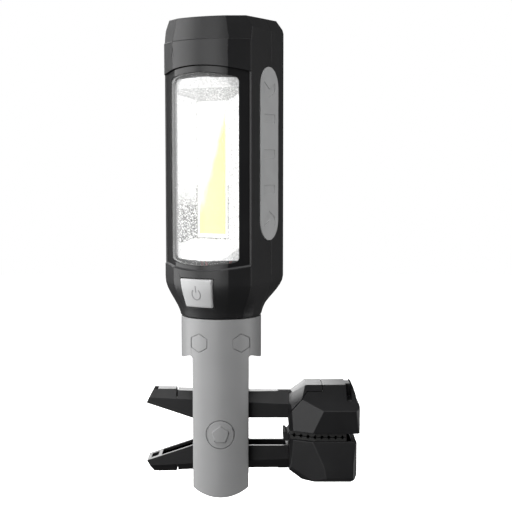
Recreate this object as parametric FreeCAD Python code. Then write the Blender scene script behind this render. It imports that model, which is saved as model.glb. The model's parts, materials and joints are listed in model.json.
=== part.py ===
import FreeCAD, Part
import math
import os

# Clamp work light: a battery lamp head on a swivel collar, held by a spring clamp.
# All sizes are in millimetres. +Z is up along the swivel axis and +X points at the jaws.
# Everything is drawn about the clamp pivot, then moved so that the origin is the middle
# of the lower jaw's gripping face.

vec = FreeCAD.Vector
UP = vec(0, 0, 1)
BACK = vec(0, 1, 0)

# Driving dimensions: whole light
head_yaw = 26.0            # the lamp faces this many degrees to the left at rest
collar_radius = 17.9
collar_top = 50.6
pivot_pin_radius = 2.5
fit_gap = 0.05             # radial clearance of a running fit
seam_gap = 0.2             # clearance of a loose joint between mouldings

# Driving dimensions: lamp head, drawn with its window facing -Y
head_bottom = 51.1
taper_end = 67.6
crease_height = 170.6
head_top = 182.0
top_slope = 0.045         # the top rises towards the rear
side_half_width = 21.3
front_corner_depth = 12.9
facet_half_width = 13.5
facet_depth = 18.9
crown_depth = 21.9
rear_corner_depth = -20.2
rear_half_width = 18.5
rear_depth = -23.4
rear_crown = 0.5
parting_depth = -7.4
case_wall = 2.2
bezel_step = 1.0
window_half_width = 16.6
window_sides = (76.3, 154.5)
window_middle = (74.2, 156.9)
bezel_sides = (74.3, 156.9)
bezel_middle = (72.1, 159.8)
led_depth = 8.3
led_bottom = 85.6
led_top = 145.6
tray_floor_half_width = 7.6
tray_mouth_half_width = 16.2
tray_side_depth = 10.8     # depth at which the tray's shallow side walls meet the window
tray_end_depth = 17.5      # depth at which its steeper end walls do
hexagon_height = 40.0
collar_screw_height = 41.2

# Driving dimensions: clamp, mirrored about its own middle plane
clamp_middle = -1.3
arm_half_depth = 6.5
arm_wall = 1.6
pod_half_depth = 19.5
pod_inner_end = 30.3
pod_outer_face = 21.3      # the lower jaw's pod is flatter and shorter than this
pod_split = 1.85
pad_gap = 0.3
grip_x = 43.0
collar_cut_radius = 36.7
strap_half_width = 12.25
strap_end = -28.1
strap_end_radius = 23.6
yoke_wall = 2.5


# ---------- helpers ----------

def box(x0, x1, y0, y1, z0, z1):
    return Part.makeBox(x1 - x0, y1 - y0, z1 - z0, vec(x0, y0, z0))


def rod(radius, start, direction, length):
    return Part.makeCylinder(radius, length, vec(*start), direction)


def prism(points, low, high, plane):
    """Extrude a polygon: plane "xz" runs along Y, "yz" along X and "xy" along Z."""
    place = {
        "xz": lambda a, b: vec(a, low, b),
        "yz": lambda a, b: vec(low, a, b),
        "xy": lambda a, b: vec(a, b, low),
    }[plane]
    along = {"xz": vec(0, 1, 0), "yz": vec(1, 0, 0), "xy": vec(0, 0, 1)}[plane]
    corners = [place(a, b) for a, b in points]
    face = Part.Face(Part.makePolygon(corners + corners[:1]))
    return face.extrude(along * (high - low))


def polygon_points(centre, radius, sides, first_angle):
    """Corners of a regular polygon, counted from first_angle in degrees."""
    points = []
    for step in range(sides):
        angle = math.radians(first_angle + 360.0 * step / sides)
        points.append((centre[0] + radius * math.cos(angle), centre[1] + radius * math.sin(angle)))
    return points


def trim(shape, point, normal):
    """Cut away everything on the side of the plane that the normal points to."""
    reach = 400.0
    slab = Part.makeBox(reach, reach, reach, vec(-reach / 2, -reach / 2, 0))
    slab.Placement = FreeCAD.Placement(vec(*point), FreeCAD.Rotation(UP, vec(*normal)))
    return shape.cut(slab)


def trim_by_points(shape, first, second, third, inside):
    """Cut with the plane through three points and keep the side that holds the point inside."""
    a, b, c = vec(*first), vec(*second), vec(*third)
    normal = (b - a).cross(c - a)
    if normal.dot(vec(*inside) - a) > 0:
        normal = normal * -1.0
    return trim(shape, first, (normal.x, normal.y, normal.z))


def mirrored(shape, axis):
    return shape.mirror(vec(0, 0, 0), axis)


def both_sides(shape, axis):
    """The shape and its mirror image, as one compound of separate solids."""
    return Part.makeCompound([shape, mirrored(shape, axis)])


def joined(first, *others):
    whole = first.fuse(list(others))
    return whole.removeSplitter()


def wire_tube(points, radius):
    """A round wire through the points, with a tangent arc at every corner."""
    spots = [vec(*point) for point in points]
    edges = []
    start = spots[0]
    for before, corner, after in zip(spots, spots[1:], spots[2:]):
        arrive = (corner - before).normalize()
        leave = (after - corner).normalize()
        turn = arrive.getAngle(leave)
        shorter = min((corner - before).Length, (after - corner).Length)
        setback = 0.45 * shorter
        bend_radius = setback / math.tan(turn / 2)
        first = corner - arrive * setback
        last = corner + leave * setback
        inward = (leave - arrive).normalize()
        middle = corner + inward * (bend_radius / math.cos(turn / 2) - bend_radius)
        edges.append(Part.LineSegment(start, first).toShape())
        edges.append(Part.Arc(first, middle, last).toShape())
        start = last
    edges.append(Part.LineSegment(start, spots[-1]).toShape())
    path = Part.Wire(edges)
    ring = Part.Wire(Part.Circle(spots[0], spots[1] - spots[0], radius).toShape())
    return path.makePipeShell([ring], True, True)


def screw(head_centre, direction, head_radius, head_height, shank_radius, shank_length):
    """A pan-head screw with a cross slot; direction points from the head into the work."""
    along = vec(*direction)
    centre = vec(*head_centre)
    head = Part.makeCylinder(head_radius, head_height, centre - along * head_height, along)
    shank = Part.makeCylinder(shank_radius, shank_length, centre, along)
    side = vec(0, 0, 1) if abs(along.z) < 0.5 else vec(1, 0, 0)
    body = head.fuse(shank)
    for arm in (side, along.cross(side)):
        slot = Part.makeBox(head_radius * 1.3, head_radius * 0.3, head_height * 0.5)
        slot.translate(vec(-head_radius * 0.65, -head_radius * 0.15, 0))
        turn = FreeCAD.Rotation(arm, along.cross(arm), along * -1.0, "XZY")
        place = FreeCAD.Placement(centre - along * head_height * 0.6, turn)
        slot.Placement = place.multiply(slot.Placement)
        body = body.cut(slot)
    return body


# ---------- lamp head ----------

def head_corners(inset):
    """Half the head's outline, front middle to rear middle, moved inwards by the inset."""
    sagitta = crown_depth - facet_depth
    crown_radius = (facet_half_width ** 2 + sagitta ** 2) / (2 * sagitta)
    points = []
    for step in range(7):
        across = facet_half_width * step / 6
        depth = crown_depth - crown_radius + math.sqrt(crown_radius ** 2 - across ** 2)
        points.append((across, -depth))
    middle = (facet_half_width + side_half_width) / 2
    points.append((middle, -(facet_depth + front_corner_depth) / 2))
    points.append((side_half_width, -front_corner_depth))
    for part in (0.25, 0.5, 0.75):
        depth = front_corner_depth + part * (rear_corner_depth - front_corner_depth)
        points.append((side_half_width, -depth))
    points.append((side_half_width, -rear_corner_depth))
    points.append((rear_half_width, -rear_depth))
    points.append((rear_half_width / 2, -rear_depth + rear_crown * 0.7))
    points.append((0, -rear_depth + rear_crown))
    return moved_inwards(points, inset)


def moved_inwards(points, inset):
    """Move every edge of the right-hand half outline inwards and meet them again."""
    if inset == 0:
        return points
    full = points + [(-x, y) for x, y in reversed(points[1:-1])]
    count = len(full)
    result = []
    for index in range(len(points)):
        before, here, after = full[index - 1], full[index], full[(index + 1) % count]
        first = unit_normal(before, here)
        second = unit_normal(here, after)
        scale = inset / (1 + first[0] * second[0] + first[1] * second[1])
        result.append((here[0] - scale * (first[0] + second[0]), here[1] - scale * (first[1] + second[1])))
    return result


def unit_normal(start, end):
    """Outward normal of an edge of an outline that runs anticlockwise seen from above."""
    dx, dy = end[0] - start[0], end[1] - start[1]
    length = math.hypot(dx, dy)
    return (dy / length, -dx / length)


def head_section(height, inset):
    """The closed outline at one height: the case outline blending into the round collar."""
    half = head_corners(inset)
    amount = min(1.0, max(0.0, (taper_end - height) / (taper_end - 49.5)))
    amount = amount * amount * (3 - 2 * amount)
    radius = collar_radius - inset
    blended = []
    for x, y in half:
        length = math.hypot(x, y)
        blended.append(((1 - amount) * x + amount * radius * x / length,
                        (1 - amount) * y + amount * radius * y / length))
    full = blended + [(-x, y) for x, y in reversed(blended[1:-1])]
    corners = [vec(x, y, height) for x, y in full]
    return Part.makePolygon(corners + corners[:1])


def head_block(inset, bottom, top):
    """The solid head between two heights, its faces moved inwards by the inset."""
    steps = 8
    heights = [bottom + (taper_end - bottom) * step / steps for step in range(steps + 1)]
    lower = Part.makeLoft([head_section(height, inset) for height in heights], True, True)
    upper = Part.Face(head_section(taper_end, inset)).extrude(vec(0, 0, top - taper_end))
    return lower.fuse(upper)


def cap_trims(shape, inset):
    """Lean the facets above the crease inwards and chamfer the top edges of the sides."""
    step = 0.45
    low = crease_height
    lean_front = 1.9
    facet_y = -facet_depth + inset
    corner_y = -front_corner_depth + inset
    for side in (-1, 1):
        first = (side * (facet_half_width - inset), facet_y + step, low)
        second = (side * (side_half_width - inset), corner_y + step, low)
        third = (side * (facet_half_width - inset - lean_front * 0.5), facet_y + lean_front, head_top)
        wedge = box(-60, 60, -60, corner_y + 8, low, head_top + 20)
        shape = cut_part(shape, wedge, first, second, third, (0, 0, low + 1))
        shape = trim_by_points(shape, (side * (side_half_width - inset), -30, 176.2),
                               (side * (side_half_width - inset), 30, 176.2),
                               (side * (side_half_width - inset - 3.2), 0, head_top), (0, 0, low))
    crown = wedge_of_crown(inset, step, lean_front)
    shape = shape.cut(crown)
    shape = trim_by_points(shape, (-30, -rear_corner_depth - 1.0 - inset, head_top),
                           (30, -rear_corner_depth - 1.0 - inset, head_top),
                           (0, -rear_depth + rear_crown - inset, 174.0), (0, 0, low))
    rear_edge = (0, -rear_corner_depth - 1.0, head_top - inset)
    return trim(shape, rear_edge, (0, -top_slope, 1))


def cut_part(shape, region, first, second, third, inside):
    """Trim with a plane, but only inside the region."""
    kept = trim_by_points(region, first, second, third, inside)
    return shape.cut(region.cut(kept))


def wedge_of_crown(inset, step, lean):
    """What leaves the crowned front above the crease: everything outside a leaning crown."""
    sagitta = crown_depth - facet_depth
    radius = (facet_half_width ** 2 + sagitta ** 2) / (2 * sagitta)
    centre_y = -(crown_depth - radius)
    low_radius = radius - step - inset
    high_radius = radius - lean - inset
    cone = Part.makeCone(low_radius, high_radius, head_top - crease_height + 0.5,
                         vec(0, centre_y, crease_height), UP)
    region = box(-facet_half_width, facet_half_width, -60, -facet_depth + 3.0,
                 crease_height, head_top + 0.5)
    return region.cut(cone)


def arch(half_width, sides, middle, low_y, high_y, shrink):
    """A window-shaped prism: straight sides, and ends that bow outwards."""
    side_low, side_high = sides[0] + shrink, sides[1] - shrink
    mid_low, mid_high = middle[0] + shrink, middle[1] - shrink
    half = half_width - shrink
    corners = [vec(-half, low_y, side_low), vec(half, low_y, side_low),
               vec(half, low_y, side_high), vec(-half, low_y, side_high)]
    edges = [
        Part.Arc(corners[0], vec(0, low_y, mid_low), corners[1]).toShape(),
        Part.LineSegment(corners[1], corners[2]).toShape(),
        Part.Arc(corners[2], vec(0, low_y, mid_high), corners[3]).toShape(),
        Part.LineSegment(corners[3], corners[0]).toShape(),
    ]
    return Part.Face(Part.Wire(edges)).extrude(vec(0, high_y - low_y, 0))


def rounded(shape, radius):
    """Round the edges of a window-shaped prism that run along Y."""
    edges = []
    for edge in shape.Edges:
        ends = [vertex.Point for vertex in edge.Vertexes]
        if len(ends) == 2 and abs(ends[0].x - ends[1].x) < 0.01 and abs(ends[0].z - ends[1].z) < 0.01:
            edges.append(edge)
    return shape.makeFillet(radius, edges)


def bezel_zone(shrink):
    """The front area, corner to corner, that the bezel fills."""
    return arch(30.0, bezel_sides_wide(), bezel_middle, -40, -front_corner_depth + 0.5, shrink)


def bezel_sides_wide():
    """Where the bezel's arched ends would be at the half width of the zone's prism."""
    spread = (30.0 / side_half_width) ** 2
    low = bezel_middle[0] + (bezel_sides[0] - bezel_middle[0]) * spread
    high = bezel_middle[1] + (bezel_sides[1] - bezel_middle[1]) * spread
    return (low, high)


def window_zone(shrink, deep):
    return rounded(arch(window_half_width, window_sides, window_middle, -40, deep, shrink), 2.2)


def stadium(half_width, low, high, x0, x1, centre_y):
    """An upright slot shape with round ends, extruded along X."""
    middle = box(x0, x1, centre_y - half_width, centre_y + half_width,
                 low + half_width, high - half_width)
    ends = [rod(half_width, (x0, centre_y, z), vec(1, 0, 0), x1 - x0)
            for z in (low + half_width, high - half_width)]
    return joined(middle, *ends)


grip_centre = 5.0
grip_half_width = 9.0
grip_bottom = 84.4
grip_top = 160.3
case_screw_spots = [(13.5, 164.5), (-13.5, 164.5), (13.0, 76.0), (-13.0, 76.0)]
door_half_width = 16.9
door_bottom = 84.2
door_top = 147.8


def head_shells():
    """The two mouldings of the lamp case, with bosses for the case screws."""
    outer = cap_trims(head_block(0, head_bottom, head_top), 0)
    inner = cap_trims(head_block(case_wall, head_bottom + 2.4, head_top), case_wall)
    for side in (-1, 1):
        recess = stadium(grip_half_width + 0.1, grip_bottom - 0.1, grip_top + 0.1, 20.2, 24.0, grip_centre)
        outer = outer.cut(recess if side > 0 else mirrored(recess, vec(1, 0, 0)))
    shell = outer.cut(inner)
    columns = []
    holes = []
    for x, z in case_screw_spots:
        columns.append(rod(3.2, (x, -15.0, z), BACK, 37.0))
        holes.append(rod(1.25, (x, -9.0, z), BACK, 24.0))
        holes.append(rod(2.7, (x, 15.0, z), BACK, 12.0))
    posts = Part.makeCompound(columns).common(inner)
    floor_ring = rod(7.0, (0, 0, head_bottom + 2.0), UP, 8.0)
    shell = shell.fuse([posts, floor_ring])
    for hole in holes + [rod(1.3, (0, 0, 40), UP, 19.0)]:
        shell = shell.cut(hole)
    front = trim(shell, (0, -parting_depth, 0), (0, 1, 0))
    rear = trim(shell, (0, -parting_depth, 0), (0, -1, 0))
    front = front.cut(bezel_zone(0)).cut(button_prism(0.25, -30, -8))
    rear = rear.cut(box(-door_half_width - 0.2, door_half_width + 0.2, 20.0, 30,
                        door_bottom - 0.2, door_top + 0.2))
    return front, rear


def largest_solid(shape):
    return max(shape.Solids, key=lambda solid: solid.Volume)


def bezel():
    body = head_block(bezel_step, 60, 175).cut(head_block(bezel_step + 2.2, 58, 177))
    body = body.common(bezel_zone(0.15))
    return body.cut(window_zone(0, 0))


def lens():
    plug = head_block(bezel_step + 0.5, 60, 175).cut(head_block(4.3, 58, 177))
    plug = plug.common(window_zone(0.12, 0))
    plug = plug.cut(head_block(bezel_step + 1.9, 58, 177).common(window_zone(1.5, 0)))
    flange = head_block(3.35, 60, 175).cut(head_block(4.3, 58, 177))
    flange = flange.common(arch(window_half_width + 1.7, window_sides, window_middle, -40, -9.0, -1.5))
    return joined(plug, flange)


def lens_seal():
    ring = head_block(4.35, 60, 175).cut(head_block(5.1, 58, 177))
    outer = arch(window_half_width + 1.6, window_sides, window_middle, -40, -8.5, -1.4)
    return ring.common(outer).cut(window_zone(-0.1, 0))


def reflector_cavity(grow):
    """The flared hollow over the LED strip, as a block that reaches past the window."""
    floor_y = -led_depth + 0.2
    reach_y = -crown_depth - 2.0
    narrow = tray_floor_half_width + grow
    wide = tray_mouth_half_width + grow
    low_end = window_sides[0] - 1.0 - grow
    high_end = window_sides[1] + 1.0 + grow
    side_line = [(narrow, floor_y), (wide, -tray_side_depth), (wide, reach_y),
                 (-wide, reach_y), (-wide, -tray_side_depth), (-narrow, floor_y)]
    end_line = [(floor_y, led_bottom - grow), (-tray_end_depth, low_end), (reach_y, low_end),
                (reach_y, high_end), (-tray_end_depth, high_end), (floor_y, led_top + grow)]
    sides = prism(side_line, 60, 175, "xy")
    ends = prism(end_line, -25, 25, "yz")
    return sides.common(ends)


def reflector():
    """A flared bright tray: a slot for the LED strip in its floor and walls out to the window."""
    wall = 0.8
    outer = reflector_cavity(wall).common(head_block(5.2, 60, 175))
    return outer.cut(reflector_cavity(0))


def cob_board():
    return box(-7.5, 7.5, -led_depth + 0.3, -led_depth + 1.3, led_bottom + 0.2, led_top - 0.2)


def cob_phosphor():
    return box(-6.2, 6.2, -led_depth - 0.4, -led_depth + 0.3, led_bottom + 2.0, led_top - 2.0)


def heat_sink():
    plate = box(-9.0, 9.0, -led_depth + 1.3, -led_depth + 2.9, led_bottom - 1.0, led_top + 1.0)
    fins = [box(x - 0.5, x + 0.5, -led_depth + 2.9, -led_depth + 6.4, led_bottom + 1, led_top - 1)
            for x in (-7.5, -4.5, -1.5, 1.5, 4.5, 7.5)]
    return joined(plate, *fins)


def grip():
    """The right-hand grip strip with its sunk chevrons and rungs."""
    strip = stadium(grip_half_width, grip_bottom, grip_top, 20.3, 21.65, grip_centre)
    mark_floor = 21.3
    mark_half_width = 5.6
    band = 3.8
    rise = 3.0
    rung_pitch = 15.5
    left = grip_centre - mark_half_width
    right = grip_centre + mark_half_width
    middle = (grip_bottom + grip_top) / 2
    for z in (middle - rung_pitch, middle, middle + rung_pitch):
        strip = strip.cut(box(mark_floor, 22.0, left, right, z - band / 2, z + band / 2))
    for z, way in ((grip_bottom + 9.5, 1), (grip_top - 10.0, -1)):
        foot = z - way * rise / 2
        tip = z + way * rise / 2
        chevron = [(left, foot - band / 2), (grip_centre, tip - band / 2), (right, foot - band / 2),
                   (right, foot + band / 2), (grip_centre, tip + band / 2), (left, foot + band / 2)]
        strip = strip.cut(prism(chevron, mark_floor, 22.0, "yz"))
    return strip


button_low = 56.0
button_high = 68.6
button_shift = -0.8         # the button sits a little left of the head's middle


def button_prism(grow, low_y, high_y):
    """The button's upright trapezoid, wider at the top."""
    low_half, high_half = 6.6 + grow, 8.0 + grow
    points = [(button_shift - low_half, button_low - grow), (button_shift + low_half, button_low - grow),
              (button_shift + high_half, button_high + grow), (button_shift - high_half, button_high + grow)]
    return prism(points, low_y, high_y, "xz")


def power_button():
    cap = button_prism(0, -30, -14.6).common(head_block(-1.0, head_bottom, 80))
    flange = button_prism(0.9, -15.2, -14.0)
    flange = flange.common(box(-20, 20, -20, 0, button_low + 2.5, button_high + 2))
    stem = rod(1.6, (0, -14.4, 62.0), BACK, 1.2)
    return joined(cap, flange, stem)


def button_mat():
    """The rubber dome sheet between the button and its switch."""
    sheet = box(-7.4, 7.4, -12.75, -11.95, 55.6, 68.4)
    return sheet.cut(rod(2.4, (0, -16, 62.0), BACK, 8))


def switch_body():
    body = box(-3.0, 3.0, -11.8, -8.6, 59.0, 65.0)
    plunger = rod(1.5, (0, -12.05, 62.0), BACK, 1.0)
    return joined(body, plunger)


def switch_board():
    return box(-10.0, 10.0, -8.5, -7.3, 56.0, 72.0)


def battery(x, flip):
    """One slim round cell with its raised positive end."""
    can = rod(5.25, (x, 14.4, 92.2), UP, 43.5)
    nub = rod(1.9, (x, 14.4, 135.7 if not flip else 91.2), UP, 1.0)
    return joined(can, nub)


def battery_tray():
    outer = box(-17.6, 17.6, 6.9, 20.8, 86.2, 142.0)
    cavity = box(-16.6, 16.6, 7.9, 22.0, 87.2, 141.0)
    ribs = [box(x - 0.25, x + 0.25, 7.9, 12.0, 95.0, 133.0) for x in (-5.5, 5.5)]
    return joined(outer.cut(cavity), *ribs)


def contact_spring(x, z, way):
    """A conical contact spring, as three stacked rings joined by a post."""
    rings = [Part.makeTorus(3.2 - 0.6 * step, 0.35, vec(x, 14.4, z + way * 0.55 * (step + 0.8)), UP)
             for step in range(3)]
    plate = box(x - 4.2, x + 4.2, 10.2, 18.6, min(z, z + way * 0.3), max(z, z + way * 0.3))
    post = rod(2.7, (x, 14.4, z), UP if way > 0 else UP * -1.0, 1.9)
    post = post.cut(rod(1.6, (x, 14.4, z - 3), UP, 6))
    return joined(plate, post, *rings)


def battery_door():
    plate = box(-door_half_width, door_half_width, 21.5, -rear_depth, door_bottom, door_top)
    ribs = [box(x - 0.6, x + 0.6, 20.9, 21.6, 95, 133) for x in (-10.9, 0.0, 10.9)]
    grooves = [box(-6.0, 6.0, -rear_depth - 0.5, 30, z, z + 0.9) for z in (88.0, 90.0, 92.0)]
    boss = rod(2.9, (0, 20.9, 144.4), BACK, 0.8)
    door = joined(plate, boss, *ribs)
    for cut in grooves + [rod(1.45, (0, 10, 144.4), BACK, 20), rod(2.5, (0, 22.2, 144.4), BACK, 10)]:
        door = door.cut(cut)
    return door


def head_wires():
    """Red and black leads: cells to switch board, and switch board to LED board."""
    runs = []
    for side in (-1, 1):
        runs.append(wire_tube([(side * 12.0, 6.2, 88.0), (side * 12.0, 3.0, 84.0), (side * 10.0, 0.5, 76.0),
                               (side * 8.0, -3.0, 70.0), (side * 8.0, -6.6, 66.0)], 0.6))
        runs.append(wire_tube([(side * 4.0, -6.6, 68.0), (side * 5.5, -3.2, 72.0), (side * 7.0, -2.0, 78.0),
                               (side * 10.2, -3.5, 84.0), (side * 10.2, -7.2, 89.0)], 0.6))
    return runs


# ---------- swivel ----------

def swivel_boss():
    """The hollow stub under the lamp with the flange that the collar traps."""
    stub = rod(7.5, (0, 0, 43.0), UP, head_bottom - 43.0)
    flange = rod(10.4, (0, 0, 42.6), UP, 3.0)
    return joined(stub, flange).cut(rod(1.9, (0, 0, 40), UP, 20)).cut(rod(4.2, (0, 0, 40), UP, 5.0))


def swivel_screw():
    return screw((0, 0, 45.0), (0, 0, 1), 3.4, 2.2, 1.25, 12.0)


def friction_ring():
    """The wavy friction washer that holds the swivel where it is turned, shown flat."""
    return rod(10.2, (0, 0, 45.65), UP, 0.5).cut(rod(7.6, (0, 0, 45), UP, 2))


# ---------- yoke ----------

def collar_profile(low_y, high_y):
    """Front view of the yoke as a prism: collar, round cut-out, straps and their round ends."""
    collar = box(-20, 20, low_y, high_y, 20, collar_top)
    collar = collar.cut(rod(collar_cut_radius, (0, low_y - 1, 0), BACK, high_y - low_y + 2))
    strap = box(-strap_half_width, strap_half_width, low_y, high_y, strap_end, 40)
    end_centre = strap_end + strap_end_radius
    strap = strap.cut(box(-30, 30, low_y - 1, high_y + 1, -40, end_centre).cut(
        rod(strap_end_radius, (0, low_y - 2, end_centre), BACK, high_y - low_y + 4)))
    whole = joined(collar, strap)
    corner_z = math.sqrt(collar_cut_radius ** 2 - strap_half_width ** 2)
    corners = []
    for edge in whole.Edges:
        ends = [vertex.Point for vertex in edge.Vertexes]
        if len(ends) != 2 or abs(ends[0].y - ends[1].y) < 1:
            continue
        if abs(abs(ends[0].x) - strap_half_width) < 0.01 and abs(ends[0].z - corner_z) < 0.05:
            corners.append(edge)
    return whole.makeFillet(1.3, corners)


def yoke_whole():
    outer = rod(collar_radius, (0, 0, -40), UP, 40 + collar_top)
    hollow = rod(collar_radius - yoke_wall, (0, 0, -41), UP, 41 + 46.2)
    shell = outer.common(collar_profile(-25, 25)).cut(hollow)
    floor = rod(collar_cut_radius + 2.0, (0, -25, 0), BACK, 50)
    floor = floor.cut(rod(collar_cut_radius, (0, -26, 0), BACK, 52))
    floor = floor.common(rod(collar_radius - 1.0, (0, 0, 20), UP, 25))
    lugs = rod(5.4, (0, -16.5, 0), BACK, 33).cut(box(-8, 8, -7.7, 7.7, -8, 8))
    lugs = lugs.common(rod(collar_radius - 0.5, (0, 0, -20), UP, 40))
    posts = Part.makeCompound([rod(2.3, (side * 13.0, -11.0, collar_screw_height), BACK, 22.0)
                               for side in (-1, 1)])
    posts = posts.common(rod(collar_radius - 0.5, (0, 0, 20), UP, 27))
    body = shell.fuse([floor, lugs, posts]).removeSplitter()
    body = body.cut(rod(7.5 + fit_gap, (0, 0, 30), UP, 30))
    body = body.cut(rod(pivot_pin_radius, (0, -30, 0), BACK, 60))
    for side in (-1, 1):
        body = body.cut(rod(1.0, (side * 13.0, -9.5, collar_screw_height), BACK, 40))
        body = body.cut(rod(2.2, (side * 13.0, 9.5, collar_screw_height), BACK, 30))
        seat = rod(6.3, (0, 16.2, 0), BACK, 5)
        body = body.cut(seat if side > 0 else mirrored(seat, BACK))
    return body


def engraved_hexagons():
    """Thin hexagon outlines on the collar's front, cut just into the surface."""
    skin = rod(collar_radius + 1, (0, 0, 25), UP, 20).cut(rod(collar_radius - 0.3, (0, 0, 24), UP, 22))
    lines = []
    for x in (-9.2, 9.2):
        outer = prism(polygon_points((x, hexagon_height), 4.3, 6, 90), -25, 0, "xz")
        inner = prism(polygon_points((x, hexagon_height), 3.9, 6, 90), -26, 1, "xz")
        lines.append(outer.cut(inner).common(skin))
    return Part.makeCompound(lines)


def yoke_shells():
    body = yoke_whole()
    marks = engraved_hexagons()
    body = body.cut(marks).cut(mirrored(marks, BACK))
    front = trim(body, (0, 0, 0), (0, 1, 0))
    rear = trim(body, (0, 0, 0), (0, -1, 0))
    return front, rear


def yoke_screws():
    return [screw((side * 13.0, 9.5, collar_screw_height), (0, -1, 0), 2.0, 1.4, 1.0, 16.0)
            for side in (-1, 1)]


def pivot_axle():
    return rod(pivot_pin_radius, (0, -16.2, 0), BACK, 32.4)


def pivot_cap():
    """Round cap over the front end of the axle, with a raised rounded pentagon."""
    disc = rod(6.1, (0, -19.5, 0), BACK, 3.3).common(rod(collar_radius + 0.1, (0, 0, -20), UP, 40))
    star = prism(polygon_points((0, 0), 3.9, 5, 90), -19.5, -17.0, "xz")
    edges = [edge for edge in star.Edges
             if abs(edge.Vertexes[0].Point.y - edge.Vertexes[-1].Point.y) > 1]
    star = star.makeFillet(0.8, edges).common(rod(collar_radius + 0.8, (0, 0, -20), UP, 40))
    return joined(disc, star)


def pivot_washer():
    return rod(5.2, (0, -7.65, 0), BACK, 1.0).cut(rod(pivot_pin_radius + fit_gap, (0, -9, 0), BACK, 3))


# ---------- clamp ----------
# The arms are drawn for the upper jaw, with heights measured from the clamp's middle plane.

jaw_screw_places = (40.6, 43.4)
arm_outer_line = [(-30.2, 18.8), (-20.4, 18.7), (-19.9, 18.2), (-13.0, 17.9), (12.0, 17.5),
                  (25.4, 17.5), (25.6, 17.9), (31.6, 17.9), (37.8, pod_outer_face), (45.0, pod_outer_face)]
arm_inner_line = [(45.0, 19.1), (38.0, 19.1), (30.1, 9.6), (30.1, 6.3), (-12.9, 6.3), (-33.3, 13.1)]
upper_pod = {"outer": pod_outer_face, "end": 61.0, "shoulder": 12.0, "ridge": 7.0,
             "tongue_half": 25.0, "ramp_edge": 5.0}
lower_pod = {"outer": 20.1, "end": 59.7, "shoulder": 18.1, "ridge": 16.5,
             "tongue_half": 9.0, "ramp_edge": 10.5}
upper_pod["end_view"] = [(61.5, 12.0), (60.8, 14.6), (59.9, 15.0), (59.7, 17.6), (58.9, 20.4), (57.7, 21.6)]
lower_pod["end_view"] = [(60.2, 14.0), (59.5, 16.8), (58.6, 18.8), (57.2, 20.3)]


def pod_outline(pod):
    """The full jaw end with the arm's tongue still part of it, as a block cut by planes."""
    outer = pod["outer"]
    end = pod["end"]
    block = box(pod_inner_end, end, -pod_half_depth, pod_half_depth, pod_split, outer)
    inside = (45, 0, 10)
    shoulder = pod["shoulder"]
    for side in (-1, 1):
        edge = side * pod_half_depth
        block = trim_by_points(block, (0, edge, 12.0), (50, edge, 12.0),
                               (0, side * (pod_half_depth - 1.2), pod_split), inside)
        block = trim_by_points(block, (0, edge, shoulder), (50, edge, shoulder),
                               (0, side * pod["ridge"], outer), inside)
        block = trim_by_points(block, (45.0, edge, 12.0), (42.6, edge, pod_split),
                               (31.6, side * 13.2, 6.0), inside)
        block = trim_by_points(block, (pod_inner_end, side * 10.0, 0), (pod_inner_end, side * 10.0, 20),
                               (31.8, side * 13.4, 8), inside)
        block = trim_by_points(block, (pod_inner_end, side * 13.0, 12.0), (31.6, side * pod["ramp_edge"], 17.3),
                               (37.8, side * (pod["ramp_edge"] + 2.5), pod_outer_face), inside)
        block = trim_by_points(block, (end, side * 17.8, 0), (end, side * 17.8, 20),
                               (end - 1.7, edge, 8), inside)
    block = trim_by_points(block, (31.6, -9, 17.3), (31.6, 9, 17.3), (37.8, 0, pod_outer_face), inside)
    waste = pod["end_view"] + [(70.0, pod["end_view"][-1][1]), (70.0, pod["end_view"][0][1])]
    return block.cut(prism(waste, -25, 25, "xz"))


def arm_section(inset, low_x, high_x):
    """The arm's cross-section swept along X: upright walls and a chamfered back."""
    half = arm_half_depth - inset
    block = box(low_x, high_x, -half, half, -5, 30)
    drop = inset * 0.5
    for side in (-1, 1):
        block = trim_by_points(block, (-25, side * half, 15.1 - drop), (20, side * half, 12.9 - drop),
                               (-25, side * (half - 3.5), 18.9 - inset), (0, 0, 0))
    return block


def pivot_ear(inner_y, outer_y, centre, high_z):
    """A pair of side plates that carry the arm on the axle at the given clamp height."""
    plate = rod(6.0, (0, inner_y, centre), BACK, outer_y - inner_y)
    web = prism([(-6.0, centre), (6.0, centre), (10.0, high_z), (-10.0, high_z)], inner_y, outer_y, "xz")
    return both_sides(joined(plate, web), BACK)


def arm(pod, pivot_height, ear_inner, ear_outer, ear_top):
    """One clamp arm: handle, channel, pivot ears and the tongue over the jaw end."""
    outline = arm_outer_line + arm_inner_line
    blank = prism(outline, -25, 25, "xz")
    channel = blank.common(arm_section(0, -40, 31.2))
    pocket_line = [(-26.8, 21.0), (-26.8, 0), (29.0, 0), (29.0, 21.0)]
    pocket = prism(pocket_line, -25, 25, "xz").common(arm_section(arm_wall, -40, 31))
    roof_line = [(x, z - 1.8) for x, z in arm_outer_line[:7]]
    roof_line += [(31.6, 15.0), (31.6, -4), (-34, -4), (-34, 16)]
    roof = prism(roof_line, -25, 25, "xz")
    channel = channel.cut(pocket.common(roof))
    half = pod["tongue_half"]
    tongue = blank.common(pod_outline(pod)).common(box(pod_inner_end, 50, -half, half, 0, 40))
    tongue = tongue.cut(box(pod_inner_end - 1, 36.0, -4.6, 4.6, 0, 13.5))
    slot = box(-31.6, -28.4, -3.4, 3.4, 0, 30)
    notch = box(-20.1, -19.5, -8, 8, 15.2, 20)
    ears = pivot_ear(ear_inner, ear_outer, pivot_height, ear_top)
    body = joined(channel, tongue, *ears.Solids)
    for x in jaw_screw_places:
        body = body.cut(rod(1.0, (x, 0, 15.0), UP, 5.6))
    hole = rod(pivot_pin_radius + fit_gap, (0, -30, pivot_height), BACK, 60)
    return body.cut(slot).cut(notch).cut(hole)


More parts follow.
